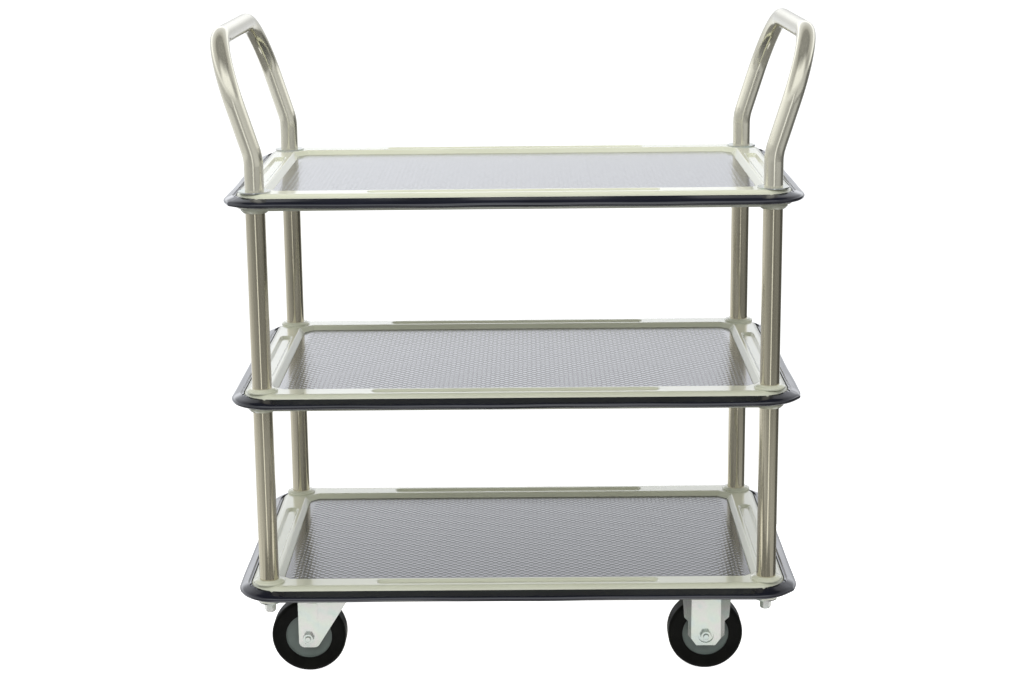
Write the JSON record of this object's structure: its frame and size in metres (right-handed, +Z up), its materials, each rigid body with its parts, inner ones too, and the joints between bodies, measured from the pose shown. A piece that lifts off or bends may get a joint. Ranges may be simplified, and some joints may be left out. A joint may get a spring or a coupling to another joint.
{
  "type": "three-tier platform cart",
  "caption": "Hand cart of pressed steel decks on tube posts, with vinyl mats, soft bumpers, a leaning tube handle at each end, and casters that swivel at one end only",
  "frame": {"origin": "on the floor under the middle of the cart", "axes": "+X along the cart towards the rigid casters, -Y towards the viewer of the picture, +Z up"},
  "size_m": [0.7724, 0.48, 0.8623],
  "materials": {
    "ivory_paint": "gloss enamel, greenish ivory",
    "post_steel": "stainless tube, brushed along its length",
    "zinc_plate": "bright zinc plate",
    "bearing_steel": "ground steel",
    "bumper_vinyl": "glossy extruded vinyl, blue-black",
    "mat_vinyl": "embossed vinyl with a soft sheen",
    "tyre_rubber": "matt solid rubber",
    "hub_plastic": "moulded nylon"
  },
  "bodies": {
    "frame": {"bottom_bumper": "bumper_vinyl", "bottom_deck": "ivory_paint", "bottom_deck_foot_collars": "ivory_paint", "bottom_deck_head_collars": "ivory_paint", "bottom_mat": "mat_vinyl", "caster_nuts": "zinc_plate", "caster_studs": "zinc_plate", "front_rigid_fork": "zinc_plate", "front_swivel_plate": "zinc_plate", "handle_plugs": "zinc_plate", "handle_washers": "zinc_plate", "left_handle": "ivory_paint", "lower_post_front_left": "post_steel", "lower_post_front_right": "post_steel", "lower_post_rear_left": "post_steel", "lower_post_rear_right": "post_steel", "middle_bumper": "bumper_vinyl", "middle_deck": "ivory_paint", "middle_deck_foot_collars": "ivory_paint", "middle_deck_head_collars": "ivory_paint", "middle_mat": "mat_vinyl", "rear_rigid_fork": "zinc_plate", "rear_swivel_plate": "zinc_plate", "right_handle": "ivory_paint", "rigid_axle_bolts": "zinc_plate", "rigid_axle_nuts": "zinc_plate", "rigid_axle_sleeves": "zinc_plate", "swivel_kingpins": "zinc_plate", "swivel_race_cups": "zinc_plate", "tie_cap_nuts": "zinc_plate", "tie_flat_washers": "zinc_plate", "tie_rods": "zinc_plate", "tie_spring_washers": "zinc_plate", "top_bumper": "bumper_vinyl", "top_deck": "ivory_paint", "top_deck_head_collars": "ivory_paint", "top_mat": "mat_vinyl", "upper_post_front_left": "post_steel", "upper_post_front_right": "post_steel", "upper_post_rear_left": "post_steel", "upper_post_rear_right": "post_steel"},
    "front_swivel": {"front_swivel_fork": "zinc_plate", "front_swivel_balls": "bearing_steel", "front_swivel_axle_sleeve": "zinc_plate", "front_swivel_axle_bolt": "zinc_plate", "front_swivel_axle_nut": "zinc_plate"},
    "front_swivel_wheel": {"front_swivel_tyre": "tyre_rubber", "front_swivel_hub": "hub_plastic"},
    "front_rigid_wheel": {"front_rigid_tyre": "tyre_rubber", "front_rigid_hub": "hub_plastic"},
    "rear_swivel": {"rear_swivel_fork": "zinc_plate", "rear_swivel_balls": "bearing_steel", "rear_swivel_axle_sleeve": "zinc_plate", "rear_swivel_axle_bolt": "zinc_plate", "rear_swivel_axle_nut": "zinc_plate"},
    "rear_swivel_wheel": {"rear_swivel_tyre": "tyre_rubber", "rear_swivel_hub": "hub_plastic"},
    "rear_rigid_wheel": {"rear_rigid_tyre": "tyre_rubber", "rear_rigid_hub": "hub_plastic"}
  },
  "joints": [
    {"name": "front_swivel_turn", "type": "hinge", "parent": "frame", "child": "front_swivel", "pos_m": [-0.252, -0.15, 0.115], "axis": [0, 0, 1], "continuous": true},
    {"name": "front_swivel_wheel_spin", "type": "hinge", "parent": "front_swivel", "child": "front_swivel_wheel", "pos_m": [-0.282, -0.15, 0.05], "axis": [0, 1, 0], "continuous": true},
    {"name": "front_rigid_wheel_spin", "type": "hinge", "parent": "frame", "child": "front_rigid_wheel", "pos_m": [0.252, -0.15, 0.05], "axis": [0, 1, 0], "continuous": true},
    {"name": "rear_swivel_turn", "type": "hinge", "parent": "frame", "child": "rear_swivel", "pos_m": [-0.252, 0.15, 0.115], "axis": [0, 0, 1], "continuous": true},
    {"name": "rear_swivel_wheel_spin", "type": "hinge", "parent": "rear_swivel", "child": "rear_swivel_wheel", "pos_m": [-0.282, 0.15, 0.05], "axis": [0, 1, 0], "continuous": true},
    {"name": "rear_rigid_wheel_spin", "type": "hinge", "parent": "frame", "child": "rear_rigid_wheel", "pos_m": [0.252, 0.15, 0.05], "axis": [0, 1, 0], "continuous": true}
  ]
}
